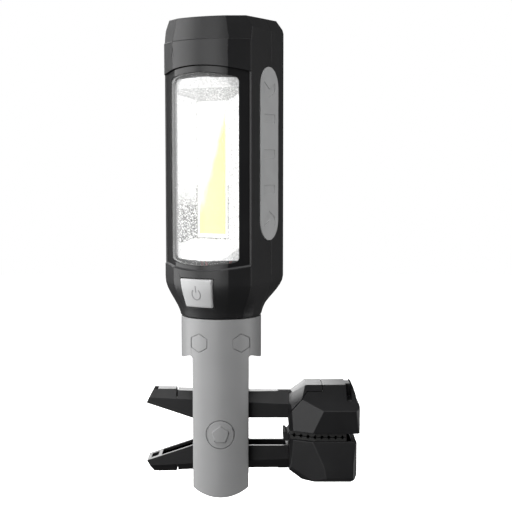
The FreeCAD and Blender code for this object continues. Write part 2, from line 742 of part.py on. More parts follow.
def handle_slot():
    """A long slot just under the rim of the lower handle's rear wall."""
    (bend_x, bend_z), (end_x, end_z) = arm_inner_line[-2:]
    slope = (bend_z - end_z) / (bend_x - end_x)
    corners = []
    for x, below in ((-26.4, 1.2), (-13.6, 1.2), (-13.6, 4.2), (-26.4, 4.2)):
        corners.append((x, bend_z + slope * (x - bend_x) + below))
    return prism(corners, 2.0, 12.0, "xz")


def tongue_zone(pod):
    """The space that the arm's tongue and its clearance take out of the jaw end."""
    seat = 18.9
    line = [(20.0, 9.35), (pod_inner_end, 9.35), (38.1, seat), (45.2, seat), (45.2, 40.0), (20.0, 40.0)]
    half = pod["tongue_half"] + seam_gap
    return prism(line, -half, half, "xz")


def jaw_cover(pod, grooved):
    """The hollow jaw end, open towards the pad; the upper one has a groove beside its outer end."""
    body = pod_outline(pod).cut(tongue_zone(pod))
    hollow = box(pod_inner_end + 2.4, pod["end"] - 2.4, -16.0, 16.0, pod_split - 1, 9.0)
    hollow = hollow.fuse(box(38.5, 55.0, -9.0, 9.0, 8.5, 16.6))
    for side in (-1, 1):
        hollow = trim_by_points(hollow, (32.7, side * 10.6, 0), (32.7, side * 10.6, 20),
                                (45.5, side * 16.9, 8), (45, 0, 5))
    body = body.cut(hollow)
    for side in (-1, 1) if grooved else ():
        low_y, high_y = sorted((side * 4.0, side * 25.0))
        body = body.cut(box(55.7, 57.8, low_y, high_y, 15.6, 30.0))
    for x in jaw_screw_places:
        body = body.cut(rod(1.15, (x, 0, 10), UP, 20))
    return body


def jaw_pad(lipped):
    """Rubber pad: a toothed face, a plug inside the jaw cover and a stop lip on the lower one."""
    face = box(30.6, 55.2, -17.4, 17.4, pad_gap / 2, pod_split)
    for side in (-1, 1):
        face = trim_by_points(face, (30.6, side * 12.0, 0), (30.6, side * 12.0, 20),
                              (41.6, side * 17.4, 1), (45, 0, 1))
    plug = box(33.2, 55.0, -10.2, 10.2, pod_split, 6.5)
    pad = joined(face, plug)
    if lipped:
        lip = box(27.8, 31.0, -6.5, 6.5, pad_gap / 2, 4.2)
        pad = joined(pad, lip.cut(box(pod_inner_end - 0.1, 35, -20, 20, pod_split, 5)))
    pitch = 3.0
    for step in range(-5, 5):
        x = grip_x + pitch * (step + 0.5)
        pad = pad.cut(prism([(x - 0.8, pad_gap / 2 - 0.1), (x + 0.8, pad_gap / 2 - 0.1), (x, 1.05)],
                            -25, 25, "xz"))
    return pad


def jaw_screws():
    return [screw((x, 0, 16.6), (0, 0, 1), 1.9, 1.3, 1.0, 3.9) for x in jaw_screw_places]


def spring_sleeve():
    """The tube on the axle that the torsion spring is wound round."""
    return rod(3.6, (0, -3.0, 0), BACK, 6.0).cut(rod(pivot_pin_radius + fit_gap, (0, -4, 0), BACK, 8))


def torsion_spring():
    """Round wire wound round the sleeve, that presses the handles apart."""
    wire_radius = 0.6
    coil_radius = 4.4
    turns = 3.5
    pitch = 1.35
    length = turns * pitch
    helix = Part.makeHelix(pitch, length, coil_radius)
    helix.rotate(vec(0, 0, 0), vec(1, 0, 0), -90)
    helix.translate(vec(0, -length / 2, 0))
    start = helix.Edges[0].Vertexes[0].Point
    along = helix.Edges[0].tangentAt(helix.Edges[0].FirstParameter)
    ring = Part.Wire(Part.Circle(start, along, wire_radius).toShape())
    return Part.Wire(helix.Edges).makePipeShell([ring], True, True), helix, wire_radius


def spring_with_legs():
    coil, helix, wire_radius = torsion_spring()
    edge = helix.Edges[0]
    parts = [coil]
    for parameter, way in ((edge.FirstParameter, -1), (helix.Edges[-1].LastParameter, 1)):
        owner = edge if way < 0 else helix.Edges[-1]
        spot = owner.valueAt(parameter)
        along = owner.tangentAt(parameter) * way
        leg = Part.makeCylinder(wire_radius, 9.0, spot, along)
        parts += [leg, Part.makeSphere(wire_radius, spot)]
        parts.append(Part.makeSphere(wire_radius, spot + along * 9.0))
    return joined(*parts)


# ---------- placing ----------

def from_clamp(shape, lower):
    """Turn clamp heights into heights above the pivot, mirrored for the lower jaw."""
    moved = shape.copy()
    if lower:
        moved = mirrored(moved, UP)
    moved.translate(vec(0, 0, clamp_middle))
    return moved


def turned(shape):
    """Turn a lamp head piece to the way it faces at rest."""
    moved = shape.copy()
    moved.rotate(vec(0, 0, 0), UP, -head_yaw)
    return moved


def solids_only(shape):
    solids = shape if isinstance(shape, list) else [shape]
    found = []
    for item in solids:
        found += item.Solids
    return found


def write(name, shape):
    """Move a piece to the part's own frame and save it."""
    pieces = []
    for solid in solids_only(shape):
        moved = solid.copy()
        moved.translate(vec(-grip_x, 0, -clamp_middle + pad_gap / 2))
        pieces.append(moved)
    result = pieces[0] if len(pieces) == 1 else Part.makeCompound(pieces)
    result.exportStep("parts/" + name + ".step")
    volume = sum(piece.Volume for piece in pieces)
    valid = all(piece.isValid() for piece in pieces)
    print("%-20s solids %d  volume %9.1f  valid %s" % (name, len(pieces), volume, valid))


def main():
    os.makedirs("parts", exist_ok=True)
    front, rear = head_shells()
    write("head_front_shell", turned(largest_solid(front)))
    write("head_rear_shell", turned(largest_solid(rear)))
    write("bezel", turned(bezel()))
    write("lens", turned(lens()))
    write("lens_seal", turned(lens_seal()))
    write("reflector", turned(reflector()))
    write("cob_board", turned(cob_board()))
    write("cob_phosphor", turned(cob_phosphor()))
    write("heat_sink", turned(heat_sink()))
    write("grip_right", turned(grip()))
    write("grip_left", turned(mirrored(grip(), vec(1, 0, 0))))
    write("power_button", turned(power_button()))
    write("button_mat", turned(button_mat()))
    write("switch_body", turned(switch_body()))
    write("switch_board", turned(switch_board()))
    for index, x in enumerate((-11.0, 0.0, 11.0)):
        write("battery_%d" % (index + 1), turned(battery(x, index == 1)))
    write("battery_tray", turned(battery_tray()))
    write("contact_springs", [turned(contact_spring(-11.0, 87.2, 1)), turned(contact_spring(0, 141.0, -1)),
                              turned(contact_spring(11.0, 87.2, 1))])
    write("battery_door", turned(battery_door()))
    write("door_screw", turned(screw((0, 22.2, 144.4), (0, -1, 0), 2.2, 1.1, 1.2, 4.0)))
    write("head_wires", [turned(wire) for wire in head_wires()])
    write("case_screws", [turned(screw((x, 15.0, z), (0, -1, 0), 2.3, 1.8, 1.25, 18.0))
                          for x, z in case_screw_spots])
    write("swivel_boss", swivel_boss())
    write("swivel_screw", swivel_screw())
    write("friction_ring", friction_ring())
    yoke_front, yoke_rear = yoke_shells()
    write("yoke_front_shell", yoke_front)
    write("yoke_rear_shell", yoke_rear)
    write("yoke_screws", yoke_screws())
    write("pivot_axle", pivot_axle())
    write("pivot_cap_front", pivot_cap())
    write("pivot_cap_rear", mirrored(pivot_cap(), BACK))
    write("pivot_washers", both_sides(pivot_washer(), BACK))
    write("spring_sleeve", spring_sleeve())
    write("torsion_spring", spring_with_legs())
    write("upper_arm", from_clamp(arm(upper_pod, -clamp_middle, 5.0, arm_half_depth, 8.0), False))
    lower = arm(lower_pod, clamp_middle, 3.3, 4.8, 15.5).cut(handle_slot())
    write("lower_arm", from_clamp(lower, True))
    for name, pod, lower in (("upper", upper_pod, False), ("lower", lower_pod, True)):
        write(name + "_jaw_cover", from_clamp(jaw_cover(pod, not lower), lower))
        write(name + "_jaw_pad", from_clamp(jaw_pad(lower), lower))
        write(name + "_jaw_screws", [from_clamp(item, lower) for item in jaw_screws()])


main()
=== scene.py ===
import json
import math

import bmesh
import bpy
import numpy as np
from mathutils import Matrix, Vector

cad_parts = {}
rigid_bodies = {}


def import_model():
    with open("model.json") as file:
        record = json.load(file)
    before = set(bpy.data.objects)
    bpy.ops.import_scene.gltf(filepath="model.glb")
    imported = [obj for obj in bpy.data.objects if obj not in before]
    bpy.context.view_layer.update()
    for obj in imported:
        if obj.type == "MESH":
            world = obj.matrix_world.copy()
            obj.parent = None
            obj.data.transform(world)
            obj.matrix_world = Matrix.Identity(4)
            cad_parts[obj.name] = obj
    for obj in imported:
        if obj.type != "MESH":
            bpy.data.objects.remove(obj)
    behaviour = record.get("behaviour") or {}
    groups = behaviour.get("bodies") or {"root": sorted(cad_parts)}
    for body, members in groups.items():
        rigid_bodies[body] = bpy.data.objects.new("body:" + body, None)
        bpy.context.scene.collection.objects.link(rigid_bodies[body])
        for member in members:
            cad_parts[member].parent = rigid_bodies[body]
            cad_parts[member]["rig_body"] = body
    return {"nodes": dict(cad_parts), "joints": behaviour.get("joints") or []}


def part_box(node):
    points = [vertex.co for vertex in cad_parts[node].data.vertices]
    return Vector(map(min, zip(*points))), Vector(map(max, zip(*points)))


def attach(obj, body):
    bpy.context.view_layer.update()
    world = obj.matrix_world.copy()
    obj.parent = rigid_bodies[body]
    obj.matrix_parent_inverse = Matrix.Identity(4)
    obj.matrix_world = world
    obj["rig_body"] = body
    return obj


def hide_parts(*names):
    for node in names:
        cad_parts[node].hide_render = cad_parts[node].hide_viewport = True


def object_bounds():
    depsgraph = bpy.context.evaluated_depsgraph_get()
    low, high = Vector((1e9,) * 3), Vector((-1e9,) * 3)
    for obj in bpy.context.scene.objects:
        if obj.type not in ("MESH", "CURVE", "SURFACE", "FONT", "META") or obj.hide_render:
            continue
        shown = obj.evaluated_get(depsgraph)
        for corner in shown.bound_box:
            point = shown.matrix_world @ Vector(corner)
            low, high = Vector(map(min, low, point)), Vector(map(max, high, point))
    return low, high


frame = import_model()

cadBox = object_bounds()
nodes = frame["nodes"]
mm = 0.001
print("frame loaded:", len(nodes), "nodes")

swivelJoint = [joint for joint in frame["joints"] if joint["name"] == "head_swivel"][0]
jawJoint = [joint for joint in frame["joints"] if joint["name"] == "jaw_open"][0]
swivel = Vector(swivelJoint["pos_m"])
pivot = Vector(jawJoint["pos_m"])
doorJoint = [joint for joint in frame["joints"] if joint["name"] == "door_lift"][0]
headBack = Vector(doorJoint["axis"]).normalized()      # the way the back of the lamp faces
headTurn = math.atan2(-headBack.x, headBack.y)         # the lamp's turn about +Z at rest


def newObject(name, vertices, faces, smooth=True):
    mesh = bpy.data.meshes.new(name)
    mesh.from_pydata([tuple(v) for v in vertices], [], [tuple(f) for f in faces])
    mesh.polygons.foreach_set("use_smooth", [smooth] * len(mesh.polygons))
    mesh.update()
    piece = bpy.data.objects.new(name, mesh)
    bpy.context.scene.collection.objects.link(piece)
    return piece


# Quads of a grid of points, row by row; closed columns join the last column to the first.
def gridFaces(rows, columns, closedColumns=False):
    r = np.arange(rows - 1)
    c = np.arange(columns if closedColumns else columns - 1)
    r, c = np.meshgrid(r, c, indexing="ij")
    nextR, nextC = r + 1, (c + 1) % columns
    quads = np.stack([r * columns + c, r * columns + nextC,
                      nextR * columns + nextC, nextR * columns + c], -1)
    return quads.reshape(-1, 4)


# points nearer than the weld are joined, and faces that differ by less than the flat angle are made one
mergeLook = {"weld": 0.002 * mm, "flatAngle": 0.6}


# A copy of a CAD node with its loose triangles merged and its flat faces made whole again.
def mergedCopy(node, name):
    mesh = nodes[node].data.copy()
    mesh.name = name
    work = bmesh.new()
    work.from_mesh(mesh)
    bmesh.ops.remove_doubles(work, verts=work.verts, dist=mergeLook["weld"])
    bmesh.ops.dissolve_limit(work, angle_limit=math.radians(mergeLook["flatAngle"]),
                             verts=work.verts, edges=work.edges)
    work.to_mesh(mesh)
    work.free()
    piece = bpy.data.objects.new(name, mesh)
    bpy.context.scene.collection.objects.link(piece)
    return piece


# The piece moves with the node's body and is shown in its place.
def standFor(piece, node):
    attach(piece, nodes[node]["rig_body"])
    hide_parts(node)
    return piece


# A copy of a CAD node with its sharp edges rounded, which stands for the node.
def soften(node, width, angle, keepClear=False, segments=2):
    piece = mergedCopy(node, node + "_skin")
    piece.data.polygons.foreach_set("use_smooth", [True] * len(piece.data.polygons))
    bevel = piece.modifiers.new("edges", "BEVEL")
    bevel.width = width
    bevel.segments = segments
    bevel.limit_method = "ANGLE"
    bevel.angle_limit = math.radians(angle)
    bevel.use_clamp_overlap = keepClear
    bevel.miter_outer = "MITER_ARC"
    normals = piece.modifiers.new("normals", "WEIGHTED_NORMAL")
    normals.keep_sharp = False
    return standFor(piece, node)


# Points given about the swivel axis with the lamp facing -Y, turned to where the lamp faces.
def intoHead(points):
    points = np.asarray(points, float)
    c, s = math.cos(headTurn), math.sin(headTurn)
    x = points[..., 0] * c - points[..., 1] * s + swivel.x
    y = points[..., 0] * s + points[..., 1] * c + swivel.y
    return np.stack([x, y, points[..., 2] + pivot.z], -1)


def freshMaterial(name):
    material = bpy.data.materials.new(name)
    material.use_nodes = True
    tree = material.node_tree
    tree.nodes.clear()
    return material, tree


def addNode(tree, kind, inputs=None, **settings):
    node = tree.nodes.new(kind)
    for key, value in settings.items():
        setattr(node, key, value)
    for key, value in (inputs or {}).items():
        if isinstance(value, bpy.types.NodeSocket):
            tree.links.new(value, node.inputs[key])
        else:
            node.inputs[key].default_value = value
    return node


def noiseAt(tree, coordinate, scale, detail=3.0, roughness=0.55):
    noise = addNode(tree, "ShaderNodeTexNoise", {"Vector": coordinate, "Scale": scale, "Detail": detail,
                                                 "Roughness": roughness})
    return noise.outputs["Fac"]


def ramp(tree, value, stops):
    node = addNode(tree, "ShaderNodeValToRGB", {"Fac": value})
    elements = node.color_ramp.elements
    while len(elements) < len(stops):
        elements.new(0.5)
    for element, (place, colour) in zip(elements, stops):
        element.position = place
        element.color = (*colour, 1.0)
    return node.outputs["Color"]


plasticIor = 1.5
grainDepth = 0.05 * mm
scratchDepth = 0.02 * mm


# Moulded plastic: two nearby tones in broad clouds, fine spark-eroded grain, uneven gloss.
def mouldedPlastic(name, look):
    material, tree = freshMaterial(name)
    place = addNode(tree, "ShaderNodeTexCoord").outputs["Object"]
    clouds = noiseAt(tree, place, look["cloudScale"], 2.0)
    colour = ramp(tree, clouds, [(0.3, look["dark"]), (0.7, look["light"])])
    grain = noiseAt(tree, place, look["grainScale"], 2.0, 0.6)
    gloss = addNode(tree, "ShaderNodeMapRange", {"Value": noiseAt(tree, place, look["cloudScale"] * 3, 3.0),
                                                 "To Min": look["rough"][0], "To Max": look["rough"][1]})
    bump = addNode(tree, "ShaderNodeBump", {"Height": grain, "Strength": look["grain"],
                                            "Distance": grainDepth})
    shader = addNode(tree, "ShaderNodeBsdfPrincipled",
                     {"Base Color": colour, "Roughness": gloss.outputs["Result"],
                      "Normal": bump.outputs["Normal"], "IOR": plasticIor,
                      "Specular IOR Level": look["specular"]})
    addNode(tree, "ShaderNodeOutputMaterial", {"Surface": shader.outputs["BSDF"]})
    return material


# Plain metal: long fine scratches one way, light tarnish in clouds.
def metal(name, look):
    material, tree = freshMaterial(name)
    place = addNode(tree, "ShaderNodeTexCoord").outputs["Object"]
    mapping = addNode(tree, "ShaderNodeMapping", {"Vector": place, "Scale": look["stretch"]})
    stretched = mapping.outputs["Vector"]
    scratches = noiseAt(tree, stretched, look["scratchScale"], 4.0)
    colour = ramp(tree, noiseAt(tree, place, look["cloudScale"], 3.0),
                  [(0.3, look["dark"]), (0.7, look["light"])])
    gloss = addNode(tree, "ShaderNodeMapRange", {"Value": scratches, "To Min": look["rough"][0],
                                                 "To Max": look["rough"][1]})
    bump = addNode(tree, "ShaderNodeBump", {"Height": scratches, "Strength": look["scratches"],
                                            "Distance": scratchDepth})
    shader = addNode(tree, "ShaderNodeBsdfPrincipled",
                     {"Base Color": colour, "Roughness": gloss.outputs["Result"], "Metallic": 1.0,
                      "Normal": bump.outputs["Normal"]})
    addNode(tree, "ShaderNodeOutputMaterial", {"Surface": shader.outputs["BSDF"]})
    return material


# Clear moulded window: nearly nothing where it is seen square on, whiter towards its edges and rims, where
# the white is a painted reflection.
def clearLens(name, look):
    material, tree = freshMaterial(name)
    place = addNode(tree, "ShaderNodeTexCoord").outputs["Object"]
    ripple = noiseAt(tree, place, look["rippleScale"], 1.0)
    bump = addNode(tree, "ShaderNodeBump", {"Height": ripple, "Strength": look["ripple"],
                                            "Distance": look["rippleDepth"]})
    tint = ramp(tree, ripple, [(0.3, look["dark"]), (0.7, look["light"])])
    facing = addNode(tree, "ShaderNodeLayerWeight", {"Blend": 0.5}).outputs["Facing"]
    # painted reflection: the white cover grows where the window is seen slantwise
    cover = addNode(tree, "ShaderNodeMapRange", {"Value": facing, "From Min": look["from"], "From Max": 1.0,
                                                 "To Min": look["clear"], "To Max": look["edge"]})
    shader = addNode(tree, "ShaderNodeBsdfPrincipled",
                     {"Base Color": tint, "Roughness": look["rough"], "IOR": look["ior"],
                      "Alpha": cover.outputs["Result"], "Normal": bump.outputs["Normal"]})
    addNode(tree, "ShaderNodeOutputMaterial", {"Surface": shader.outputs["BSDF"]})
    return material


# Lit phosphor: white where it is brightest, with a yellow wedge that widens downwards from its right edge.
# The wedge is a smooth step over (distance across + slope x distance down), streaked by stretched noise.
def glowing(name, look):
    material, tree = freshMaterial(name)
    place = addNode(tree, "ShaderNodeTexCoord").outputs["Object"]
    low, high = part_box("cob_phosphor")
    split = addNode(tree, "ShaderNodeSeparateXYZ", {"Vector": place})
    across = addNode(tree, "ShaderNodeMapRange", {"Value": split.outputs["X"],
                                                  "From Min": low.x, "From Max": high.x})
    down = addNode(tree, "ShaderNodeMapRange", {"Value": split.outputs["Z"],
                                                "From Min": high.z, "From Max": low.z})
    mapping = addNode(tree, "ShaderNodeMapping", {"Vector": place, "Scale": look["streakStretch"],
                                                  "Rotation": look["streakTurn"]})
    streaks = mapping.outputs["Vector"]
    uneven = addNode(tree, "ShaderNodeMath", {0: noiseAt(tree, streaks, look["streakScale"], 2.0),
                                              1: look["streaks"]}, operation="MULTIPLY")
    slanted = addNode(tree, "ShaderNodeMath", {0: down.outputs["Result"], 1: look["slope"],
                                               2: across.outputs["Result"]}, operation="MULTIPLY_ADD")
    mixed = addNode(tree, "ShaderNodeMath", {0: slanted.outputs["Value"], 1: uneven.outputs["Value"]},
                    operation="ADD")
    wedge = addNode(tree, "ShaderNodeMapRange", {"Value": mixed.outputs["Value"],
                                                 "From Min": look["start"], "From Max": look["end"]})
    colour = ramp(tree, wedge.outputs["Result"], [(0.0, look["white"]), (1.0, look["yellow"])])
    shader = addNode(tree, "ShaderNodeBsdfPrincipled",
                     {"Base Color": look["unlit"], "Roughness": look["rough"], "Emission Color": colour,
                      "Emission Strength": look["strength"], "Specular IOR Level": look["specular"]})
    addNode(tree, "ShaderNodeOutputMaterial", {"Surface": shader.outputs["BSDF"]})
    return material


# Bright pebbled tray, plated in life: its near-white colour and faint glow are painted reflection and painted
# light, and it is darker in the hollows between the pebbles, which is painted shade. Where the shade
# attribute is high, dark flecks from a noise take over: painted shade.
def platedTray(name, look):
    material, tree = freshMaterial(name)
    place = addNode(tree, "ShaderNodeTexCoord").outputs["Object"]
    cells = addNode(tree, "ShaderNodeTexVoronoi", {"Vector": place, "Scale": look["cellScale"]}, feature="F1")
    # painted shade: darker towards the edges of the pebble cells, in the hollows
    plain = ramp(tree, cells.outputs["Distance"], [(0.3, look["light"]), (0.8, look["hollowShade"])])
    # painted shade: dark flecks from a noise, shown where the shade attribute is high
    shadeFlecks = ramp(tree, noiseAt(tree, place, look["shadeFleckScale"], 3.0, 0.7),
                [(0.5, look["dark"]), (0.57, look["light"])])
    shade = addNode(tree, "ShaderNodeAttribute", attribute_name="shade").outputs["Fac"]
    # for colours this node's factor is input 0, its two colours inputs 6 and 7, and its result output 2
    colour = addNode(tree, "ShaderNodeMix", data_type="RGBA")
    tree.links.new(shade, colour.inputs[0])
    tree.links.new(plain, colour.inputs[6])
    tree.links.new(shadeFlecks, colour.inputs[7])
    gloss = addNode(tree, "ShaderNodeMapRange", {"Value": noiseAt(tree, place, look["glossScale"], 2.0),
                                                 "To Min": look["rough"][0], "To Max": look["rough"][1]})
    bump = addNode(tree, "ShaderNodeBump", {"Height": cells.outputs["Distance"], "Strength": look["bump"],
                                            "Distance": look["bumpDepth"]}, invert=True)
    # painted light: the tray glows in its own colour so that it stays white
    shader = addNode(tree, "ShaderNodeBsdfPrincipled",
                     {"Base Color": colour.outputs[2], "Roughness": gloss.outputs["Result"],
                      "Emission Color": colour.outputs[2], "Emission Strength": look["paintedGlow"],
                      "Normal": bump.outputs["Normal"]})
    addNode(tree, "ShaderNodeOutputMaterial", {"Surface": shader.outputs["BSDF"]})
    return material


def dress(piece, material):
    piece.data.materials.clear()
    piece.data.materials.append(material)


finishes = {
    "caseBlack": {"dark": (0.0075, 0.0075, 0.008), "light": (0.0105, 0.0105, 0.011), "cloudScale": 60.0,
                  "grainScale": 2600.0, "grain": 0.2, "rough": (0.34, 0.42), "specular": 0.26},
    # painted highlight: the sill is a lighter, glossier copy of the case black
    "sillHighlightBlack": {"dark": (0.028, 0.028, 0.029), "light": (0.036, 0.036, 0.037), "cloudScale": 60.0,
                  "grainScale": 2600.0, "grain": 0.2, "rough": (0.34, 0.4), "specular": 0.4},
    "bezelBlack": {"dark": (0.006, 0.006, 0.0065), "light": (0.009, 0.009, 0.0095), "cloudScale": 60.0,
                   "grainScale": 2600.0, "grain": 0.1, "rough": (0.26, 0.32), "specular": 0.26},
    "clampBlack": {"dark": (0.006, 0.006, 0.0065), "light": (0.009, 0.009, 0.0095), "cloudScale": 80.0,
                   "grainScale": 2400.0, "grain": 0.25, "rough": (0.34, 0.42), "specular": 0.24},
    "yokeGrey": {"dark": (0.185, 0.186, 0.187), "light": (0.2, 0.201, 0.202), "cloudScale": 50.0,
                 "grainScale": 2600.0, "grain": 0.2, "rough": (0.42, 0.5), "specular": 0.4},
    "gripGrey": {"dark": (0.31, 0.312, 0.314), "light": (0.35, 0.352, 0.354), "cloudScale": 70.0,
                 "grainScale": 1800.0, "grain": 0.35, "rough": (0.6, 0.7), "specular": 0.4},
    "buttonGrey": {"dark": (0.33, 0.331, 0.333), "light": (0.36, 0.361, 0.363), "cloudScale": 70.0,
                   "grainScale": 2600.0, "grain": 0.15, "rough": (0.38, 0.45), "specular": 0.4},
    "signGrey": {"dark": (0.2, 0.2, 0.202), "light": (0.23, 0.23, 0.232), "cloudScale": 200.0,
                 "grainScale": 2600.0, "grain": 0.15, "rough": (0.5, 0.6), "specular": 0.3},
    "padRubber": {"dark": (0.005, 0.005, 0.005), "light": (0.009, 0.009, 0.009), "cloudScale": 90.0,
                  "grainScale": 1500.0, "grain": 0.7, "rough": (0.68, 0.8), "specular": 0.3},
    "sealRubber": {"dark": (0.02, 0.02, 0.02), "light": (0.03, 0.03, 0.03), "cloudScale": 90.0,
                   "grainScale": 1500.0, "grain": 0.6, "rough": (0.65, 0.75), "specular": 0.3},
    "innerPlastic": {"dark": (0.05, 0.05, 0.052), "light": (0.07, 0.07, 0.072), "cloudScale": 80.0,
                     "grainScale": 2000.0, "grain": 0.3, "rough": (0.45, 0.55), "specular": 0.4},
    "boardGreen": {"dark": (0.01, 0.09, 0.04), "light": (0.015, 0.13, 0.055), "cloudScale": 160.0,
                   "grainScale": 1800.0, "grain": 0.2, "rough": (0.3, 0.4), "specular": 0.5},
    "boardWhite": {"dark": (0.8, 0.8, 0.78), "light": (0.88, 0.88, 0.86), "cloudScale": 120.0,
                   "grainScale": 1800.0, "grain": 0.2, "rough": (0.4, 0.5), "specular": 0.5},
    "cellBlue": {"dark": (0.02, 0.07, 0.22), "light": (0.03, 0.1, 0.3), "cloudScale": 100.0,
                 "grainScale": 1800.0, "grain": 0.1, "rough": (0.25, 0.35), "specular": 0.5},
    "wireRed": {"dark": (0.3, 0.012, 0.012), "light": (0.42, 0.02, 0.02), "cloudScale": 200.0,
                "grainScale": 1800.0, "grain": 0.2, "rough": (0.4, 0.5), "specular": 0.5},
}
metals = {
    "steel": {"dark": (0.48, 0.48, 0.47), "light": (0.6, 0.6, 0.59), "stretch": (1.0, 1.0, 12.0),
              "scratchScale": 900.0, "scratches": 0.15, "cloudScale": 300.0, "rough": (0.25, 0.42)},
    "aluminium": {"dark": (0.66, 0.67, 0.68), "light": (0.78, 0.79, 0.8), "stretch": (8.0, 8.0, 1.0),
                  "scratchScale": 700.0, "scratches": 0.15, "cloudScale": 300.0, "rough": (0.3, 0.45)},
}
materials = {name: mouldedPlastic(name, look) for name, look in finishes.items()}
materials.update({name: metal(name, look) for name, look in metals.items()})
# the window's white tint towards its edges is painted reflection
materials["clearWindow"] = clearLens("clearWindow", {
    "dark": (0.86, 0.87, 0.87), "light": (0.95, 0.95, 0.95), "rippleScale": 60.0, "ripple": 0.05,
    "rippleDepth": 0.1 * mm, "rough": 0.06, "ior": 1.49, "from": 0.55, "clear": 0.06, "edge": 0.6})
materials["litPhosphor"] = glowing("litPhosphor", {
    "white": (1.0, 1.0, 0.97), "yellow": (0.6, 0.6, 0.22), "strength": 1.7, "slope": 1.35,
    "start": 1.0, "end": 1.4, "streaks": 0.3, "streakScale": 320.0, "streakStretch": (1.0, 1.0, 0.35),
    "streakTurn": (0.0, 0.5, 0.0), "unlit": (0.05, 0.05, 0.02, 1.0), "rough": 0.5, "specular": 0.1})
# tray colours: the near-white tone and the glow are painted reflection and painted light, the softer tone is
# painted shade in the hollows, the dark flecks are painted shade
materials["platedTray"] = platedTray("platedTray", {
    "light": (0.9, 0.9, 0.9), "hollowShade": (0.62, 0.62, 0.62), "dark": (0.02, 0.02, 0.02), "cellScale": 900.0,
    "shadeFleckScale": 1500.0, "glossScale": 400.0, "rough": (0.25, 0.4), "bump": 0.35, "bumpDepth": 0.2 * mm,
    "paintedGlow": 0.17})
print("materials made:", len(materials))

nodeFinish = {
    "head_front_shell": "caseBlack", "head_rear_shell": "caseBlack", "battery_door": "caseBlack",
    "bezel": "bezelBlack", "lens": "clearWindow", "lens_seal": "sealRubber", "reflector": "platedTray",
    "cob_board": "boardWhite", "cob_phosphor": "litPhosphor", "heat_sink": "aluminium",
    "grip_right": "gripGrey", "grip_left": "gripGrey", "power_button": "buttonGrey",
    "button_mat": "sealRubber", "switch_body": "innerPlastic", "switch_board": "boardGreen",
    "battery_1": "cellBlue", "battery_2": "cellBlue", "battery_3": "cellBlue",
    "battery_tray": "innerPlastic", "contact_springs": "steel", "door_screw": "steel",
    "head_wires": "wireRed", "case_screws": "steel", "swivel_boss": "innerPlastic",
    "swivel_screw": "steel", "friction_ring": "steel", "yoke_front_shell": "yokeGrey",
    "yoke_rear_shell": "yokeGrey", "yoke_screws": "steel", "pivot_axle": "steel",
    "pivot_cap_front": "yokeGrey", "pivot_cap_rear": "yokeGrey", "pivot_washers": "innerPlastic",
    "spring_sleeve": "innerPlastic", "torsion_spring": "steel", "upper_arm": "clampBlack",
    "lower_arm": "clampBlack", "upper_jaw_cover": "clampBlack", "lower_jaw_cover": "clampBlack",
    "upper_jaw_pad": "padRubber", "lower_jaw_pad": "padRubber", "upper_jaw_screws": "steel",
    "lower_jaw_screws": "steel",
}
for node, finish in nodeFinish.items():
    dress(nodes[node], materials[finish])


# rounded mouldings: width of the rounded edge, the angle from which an edge counts as sharp, and
# whether the rounding is held back where walls are thin. The left grip is shown as it is.
edgeLook = {
    "head_front_shell": (0.2 * mm, 9.0), "head_rear_shell": (0.2 * mm, 9.0),
    "battery_door": (0.25 * mm, 20.0),
    "bezel": (0.2 * mm, 9.0), "lens": (0.2 * mm, 9.0), "grip_right": (0.3 * mm, 24.0, True),
    "power_button": (0.5 * mm, 24.0), "yoke_front_shell": (0.18 * mm, 24.0),
    "yoke_rear_shell": (0.18 * mm, 24.0), "pivot_cap_front": (0.2 * mm, 24.0),
    "pivot_cap_rear": (0.2 * mm, 24.0), "upper_arm": (0.25 * mm, 24.0, True),
    "lower_arm": (0.25 * mm, 24.0, True),
    "upper_jaw_cover": (0.35 * mm, 14.0), "lower_jaw_cover": (0.35 * mm, 14.0),
    "upper_jaw_pad": (0.12 * mm, 24.0), "lower_jaw_pad": (0.12 * mm, 24.0),
}
for node, edge in edgeLook.items():
    dress(soften(node, *edge), materials[nodeFinish[node]])
print("rounded mouldings:", len(edgeLook))


# tray behind the lens, in millimetres about the swivel axis with the lamp facing -Y
trayLook = {
    "floorDepth": 8.1, "floorHalf": 7.6, "mouthHalf": 16.2, "mouthDepth": 10.8,
    "ledLow": 85.6, "ledHigh": 145.6, "endReach": 9.3, "endRise": 9.4,
    "crownDepth": 16.7, "crownRadius": 26.7, "facetHalf": 11.7, "facetSlope": 0.77,
    "pebble": 0.16, "pitch": 1.5, "step": 0.3, "wall": 0.55,
    "endRound": 1.0, "diagonal": 0.7, "pebbleMiddle": 0.4, "pebbleFade": 0.4,
    # from here the keys set the painted shade: the even right wall, the heights over which the flecks at the
    # foot of the left wall fade in, the band on the top ramp and the seam round the strip
    "rightWallShade": 0.3, "paintedShadeTop": 109.0, "paintedShadeFull": 99.0, "paintedShadePower": 1.5, "band": 0.5,
    "bandReach": 0.55, "shadedSeam": 0.5, "seamShade": 1.0,
}


